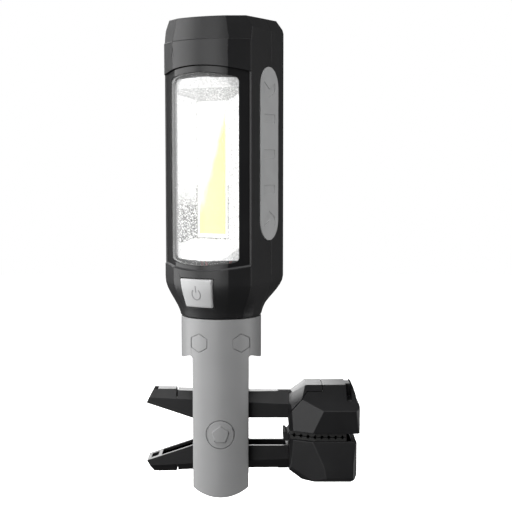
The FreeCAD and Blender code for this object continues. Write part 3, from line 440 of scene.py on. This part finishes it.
# A height field: depth is the greatest of the flat floor, the side ramps and the end ramps, plus pebbles,
# and never passes the curve of the lens. Pebbles are |sin| x |sin| on two crossed diagonals.
def reflectorTray(look):
    def spread(start, end):
        return np.linspace(start, end, max(3, int(round((end - start) / look["step"])) + 1))

    xs = np.unique(np.concatenate([spread(-look["mouthHalf"], -look["floorHalf"]),
                                   spread(-look["floorHalf"], look["floorHalf"]),
                                   spread(look["floorHalf"], look["mouthHalf"])]).round(6))
    zs = np.unique(np.concatenate([spread(look["ledLow"] - look["endReach"], look["ledLow"]),
                                   spread(look["ledLow"], look["ledHigh"]),
                                   spread(look["ledHigh"], look["ledHigh"] + look["endReach"])]).round(6))
    z, x = np.meshgrid(zs, xs, indexing="ij")
    sideSlope = (look["mouthDepth"] - look["floorDepth"]) / (look["mouthHalf"] - look["floorHalf"])
    endSlope = look["endRise"] / (look["endReach"] + look["endRound"])
    side = np.clip(np.abs(x) - look["floorHalf"], 0.0, None)
    end = np.clip(np.maximum(look["ledLow"] - z, z - look["ledHigh"]), 0.0, None)
    rise = np.maximum(side * sideSlope, end * endSlope)
    wave = math.pi / look["pitch"]
    bumps = np.abs(np.sin((x + z) * wave * look["diagonal"]) * np.sin((x - z) * wave * look["diagonal"]))
    pebbles = look["pebble"] * (bumps - look["pebbleMiddle"]) * np.clip(rise / look["pebbleFade"], 0.0, 1.0)
    depth = look["floorDepth"] + rise + pebbles
    inside = np.minimum(np.abs(x), look["facetHalf"])
    crown = look["crownDepth"] - look["crownRadius"] + np.sqrt(look["crownRadius"] ** 2 - inside ** 2)
    crown = crown - np.clip(np.abs(x) - look["facetHalf"], 0.0, None) * look["facetSlope"]
    depth = np.minimum(depth, crown)
    points = intoHead(np.stack([x, -depth, z], -1).reshape(-1, 3) * mm)
    faces = gridFaces(len(zs), len(xs))
    middles = np.stack([x, z], -1).reshape(-1, 2)[faces].mean(1)
    solid = (np.abs(middles[:, 0]) > look["floorHalf"]) | (middles[:, 1] < look["ledLow"]) | (
        middles[:, 1] > look["ledHigh"])
    faces = faces[solid]
    used, faces = np.unique(faces, return_inverse=True)
    piece = newObject("reflector_tray", points[used], faces.reshape(-1, 4))
    # painted shade: dark flecks at the foot of the left wall, an even grey right wall, a grey band on the top
    # ramp, and dark flecks on the lower part of the seam round the strip
    onSide = side * sideSlope > end * endSlope
    foot = np.clip((look["paintedShadeTop"] - z) / (look["paintedShadeTop"] - look["paintedShadeFull"]), 0.0, 1.0)
    shade = np.where(onSide & (x < 0), foot ** look["paintedShadePower"], 0.0)
    shade = np.where(onSide & (x > 0), look["rightWallShade"], shade)
    band = (z > look["ledHigh"]) & (end < look["bandReach"] * look["endReach"]) & ~onSide
    shade = np.where(band, look["band"], shade)
    shadedSeam = (np.maximum(side, end) < look["shadedSeam"]) & (z < look["paintedShadeTop"])
    shade = np.where(shadedSeam, look["seamShade"], shade)
    stored = piece.data.attributes.new("shade", "FLOAT", "POINT")
    stored.data.foreach_set("value", shade.reshape(-1)[used].astype(np.float32))
    wall = piece.modifiers.new("wall", "SOLIDIFY")
    wall.thickness = look["wall"] * mm
    wall.offset = -1.0
    return standFor(piece, "reflector")


dress(reflectorTray(trayLook), materials["platedTray"])
print("reflector tray made")


# lit strip: a low dome over the LED board
stripLook = {"halfWidth": 6.2, "low": 87.6, "high": 143.6, "base": 8.0, "edge": 8.5, "middle": 8.9,
             "columns": 25, "rows": 97, "acrossPower": 4, "alongPower": 16}


# Depth = edge + (middle - edge) x (1 - across^acrossPower) x (1 - along^alongPower), with across and along
# from -1 to 1; the back is flat on the board.
def litStrip(look):
    across, along = np.meshgrid(np.linspace(-1, 1, look["columns"]), np.linspace(-1, 1, look["rows"]))
    bulge = (1 - across ** look["acrossPower"]) * (1 - along ** look["alongPower"])
    dome = look["edge"] + (look["middle"] - look["edge"]) * bulge
    height = (look["low"] + look["high"]) / 2 + along * (look["high"] - look["low"]) / 2
    front = np.stack([across * look["halfWidth"], -dome, height], -1).reshape(-1, 3)
    rows, columns = across.shape
    index = np.arange(rows * columns).reshape(rows, columns)
    rim = np.concatenate([index[0, :-1], index[:-1, -1], index[-1, :0:-1], index[:0:-1, 0]])
    back = front[rim].copy()
    back[:, 1] = -look["base"]
    count = len(front)
    ring = np.arange(len(rim))
    after = (ring + 1) % len(rim)
    faces = [tuple(face) for face in gridFaces(rows, columns)]
    faces += [tuple(face) for face in np.stack([rim[after], rim, count + ring, count + after], -1)]
    faces.append(tuple(count + ring[::-1]))
    piece = newObject("lit_strip", intoHead(np.concatenate([front, back]) * mm), faces)
    return standFor(piece, "cob_phosphor")


strip = litStrip(stripLook)
dress(strip, materials["litPhosphor"])
print("lit strip made")


# the front of the lamp case, which the lip and the sign lie on, in the tray's millimetres
caseLook = {"crownRadius": 31.9, "crownDepth": 21.9, "facetHalf": 13.5, "facetDepth": 18.9,
            "facetSlope": 0.77, "collarRadius": 17.9, "taperTop": 67.6, "taperFoot": 49.5,
            "passes": 4}


# Depth of the case's front: the crown inside the facets, the facets beyond it, moved out by a distance.
# Below the taper's top, depth and place across are both scaled towards the round collar, so the scale is
# found again in a few passes.
def caseFront(x, z, out):
    blend = np.clip((caseLook["taperTop"] - z) / (caseLook["taperTop"] - caseLook["taperFoot"]), 0.0, 1.0)
    blend = blend * blend * (3 - 2 * blend)
    across = np.array(x, float)
    for turn in range(caseLook["passes"]):
        inside = np.minimum(np.abs(across), caseLook["facetHalf"])
        depth = caseLook["crownDepth"] - caseLook["crownRadius"] + np.sqrt(
            (caseLook["crownRadius"] + out) ** 2 - inside ** 2)
        depth = depth - (np.abs(across) - inside) * caseLook["facetSlope"]
        scale = (1 - blend) + blend * (caseLook["collarRadius"] + out) / np.hypot(across, depth)
        across = x / scale
    return depth * scale


# sloping lip of the lower case under the window: it follows the arch of the frame's foot; its lighter black
# is a painted highlight along the ledge
lipLook = {"halfWidth": 21.1, "middle": 72.1, "side": 74.3, "high": 0.75, "low": 0.35, "back": 1.35,
           "front": 0.02, "points": 121}


# A triangle carried along the arch z = middle + (side - middle) x (x / halfWidth)^2: back edge at the window
# frame, front edge flush with the case, foot inside the case wall.
def sillLip(look):
    x = np.linspace(-look["halfWidth"], look["halfWidth"], look["points"])
    arch = look["middle"] + (look["side"] - look["middle"]) * (x / look["halfWidth"]) ** 2
    corners = []
    for out, rise in ((-look["back"], look["high"]), (look["front"], -look["low"]),
                      (-look["back"], -look["low"])):
        z = arch + rise
        corners.append(np.stack([x, -caseFront(x, z, 0.0) - out, z], -1))
    grid = np.stack(corners, 1)
    count = len(x)
    faces = [tuple(face) for face in gridFaces(count, 3, closedColumns=True)]
    faces += [(0, 1, 2), (3 * count - 1, 3 * count - 2, 3 * count - 3)]
    piece = newObject("window_sill", intoHead(grid.reshape(-1, 3) * mm), faces, smooth=False)
    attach(piece, nodes["head_front_shell"]["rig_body"])
    return piece


dress(sillLip(lipLook), materials["sillHighlightBlack"])
print("window sill made")


# power sign on the button: an egg-shaped ring open at the top and an upright bar
signLook = {"centre": (-0.75, 61.9), "radius": 2.05, "tall": 1.15, "opening": 38.0, "width": 0.52,
            "barLow": 0.9, "barHigh": 3.7, "face": 1.0, "proud": 0.05, "depth": 0.35,
            "lines": 5, "ringPoints": 57, "barPoints": 9}


# A flat band: the path's points moved to both sides by half the width, laid on the button's face.
def signBand(name, pathX, pathZ, look):
    alongX, alongZ = np.gradient(pathX), np.gradient(pathZ)
    length = np.hypot(alongX, alongZ)
    side = np.linspace(-0.5, 0.5, look["lines"])[None, :] * look["width"]
    x = pathX[:, None] - side * (alongZ / length)[:, None]
    z = pathZ[:, None] + side * (alongX / length)[:, None]
    points = np.stack([x, -(caseFront(x, z, look["face"]) + look["proud"]), z], -1).reshape(-1, 3)
    faces = gridFaces(len(pathX), look["lines"])[:, ::-1]
    piece = newObject(name, intoHead(points * mm), faces)
    wall = piece.modifiers.new("inlay", "SOLIDIFY")
    wall.thickness = look["depth"] * mm
    wall.offset = -1.0
    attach(piece, nodes["power_button"]["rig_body"])
    return piece


centreX, centreZ = signLook["centre"]
sweep = np.radians(np.linspace(90 + signLook["opening"], 450 - signLook["opening"],
                               signLook["ringPoints"]))
ringX = centreX + signLook["radius"] * np.cos(sweep)
ringZ = centreZ + signLook["radius"] * signLook["tall"] * np.sin(sweep)
barZ = centreZ + np.linspace(signLook["barLow"], signLook["barHigh"], signLook["barPoints"])
barX = np.full(signLook["barPoints"], centreX)
for name, pathX, pathZ in (("sign_ring", ringX, ringZ), ("sign_bar", barX, barZ)):
    dress(signBand(name, pathX, pathZ, signLook), materials["signGrey"])
print("power sign made")


stageLook = {"floorDark": (0.93, 0.93, 0.93), "floorLight": (0.97, 0.97, 0.97), "floorDrop": 0.2,
             "floorHalf": 3.0, "backdrop": (1.0, 1.0, 1.0, 1.0), "surround": (0.11, 0.11, 0.11, 1.0)}


def floorMaterial():
    material, tree = freshMaterial("paleFloor")
    place = addNode(tree, "ShaderNodeTexCoord").outputs["Object"]
    colour = ramp(tree, noiseAt(tree, place, 3.0, 2.0), [(0.0, stageLook["floorDark"]),
                                                         (1.0, stageLook["floorLight"])])
    shader = addNode(tree, "ShaderNodeBsdfPrincipled", {"Base Color": colour, "Roughness": 0.9,
                                                        "Emission Color": colour, "Emission Strength": 1.0})
    addNode(tree, "ShaderNodeOutputMaterial", {"Surface": shader.outputs["BSDF"]})
    return material


floorZ = cadBox[0][2] - stageLook["floorDrop"]
half = stageLook["floorHalf"]
floorCorners = [(-half, -half, floorZ), (half, -half, floorZ), (half, half, floorZ), (-half, half, floorZ)]
floor = newObject("floor", floorCorners, [(0, 1, 2, 3)])
dress(floor, floorMaterial())
floor.visible_diffuse = False
floor.visible_glossy = False

# a white backdrop, and a dimmer surround for light that reaches the object
world = bpy.data.worlds.new("studio")
bpy.context.scene.world = world
world.use_nodes = True
world.node_tree.nodes.clear()
seen = addNode(world.node_tree, "ShaderNodeLightPath").outputs["Is Camera Ray"]
backdrop = addNode(world.node_tree, "ShaderNodeBackground", {"Color": stageLook["backdrop"]})
surround = addNode(world.node_tree, "ShaderNodeBackground", {"Color": stageLook["surround"]})
chosen = addNode(world.node_tree, "ShaderNodeMixShader",
                 {0: seen, 1: surround.outputs[0], 2: backdrop.outputs[0]})
addNode(world.node_tree, "ShaderNodeOutputWorld", {"Surface": chosen.outputs[0]})

# soft lights round the object: bearing from the front towards the right, distance, height, size in metres,
# and brightness of the panel's face
lightLook = {
    "keyLeft": {"bearing": -86.0, "distance": 0.9, "height": 0.16, "size": (1.0, 1.0), "brightness": 5.2},
    "frontLeft": {"bearing": -28.0, "distance": 1.0, "height": 0.16, "size": (0.66, 0.9), "brightness": 4.4},
    "fillRight": {"bearing": 84.0, "distance": 0.9, "height": 0.12, "size": (0.6, 0.9), "brightness": 3.6},
    "topLeft": {"bearing": -20.0, "distance": 0.5, "height": 0.95, "size": (0.7, 0.6), "brightness": 5.0},
    "backSoft": {"bearing": 195.0, "distance": 1.1, "height": 0.4, "size": (0.9, 0.8), "brightness": 4.0},
}
aimHeight = 0.09
middle = Vector((swivel.x, 0.0, aimHeight))


def softPanel(name, look):
    bearing = math.radians(look["bearing"])
    light = bpy.data.lights.new(name, "AREA")
    light.shape = "RECTANGLE"
    light.size, light.size_y = look["size"]
    light.energy = look["brightness"] * math.pi * look["size"][0] * look["size"][1]
    lamp = bpy.data.objects.new(name, light)
    lamp.location = middle + Vector((math.sin(bearing) * look["distance"],
                                     -math.cos(bearing) * look["distance"],
                                     look["height"] - middle.z))
    lamp.rotation_euler = (middle - lamp.location).to_track_quat("-Z", "Y").to_euler()
    bpy.context.scene.collection.objects.link(lamp)


for name, look in lightLook.items():
    softPanel(name, look)

cameraLook = {"distance": 482.0 * mm, "across": 15.6 * mm, "eyeAbovePivot": 115.8 * mm,
              "targetAbovePivot": 77.01 * mm, "lens": 75.93, "sensor": 36.0}
cameraData = bpy.data.cameras.new("view")
cameraData.lens = cameraLook["lens"]
cameraData.sensor_width = cameraLook["sensor"]
camera = bpy.data.objects.new("view", cameraData)
eye = Vector((pivot.x + cameraLook["across"], -cameraLook["distance"],
              pivot.z + cameraLook["eyeAbovePivot"]))
aim = Vector((eye.x, 0.0, pivot.z + cameraLook["targetAbovePivot"]))
camera.location = eye
camera.rotation_euler = (aim - eye).to_track_quat("-Z", "Y").to_euler()
bpy.context.scene.collection.objects.link(camera)
bpy.context.scene.camera = camera
bpy.context.scene.view_settings.view_transform = "Standard"
print("stage set")
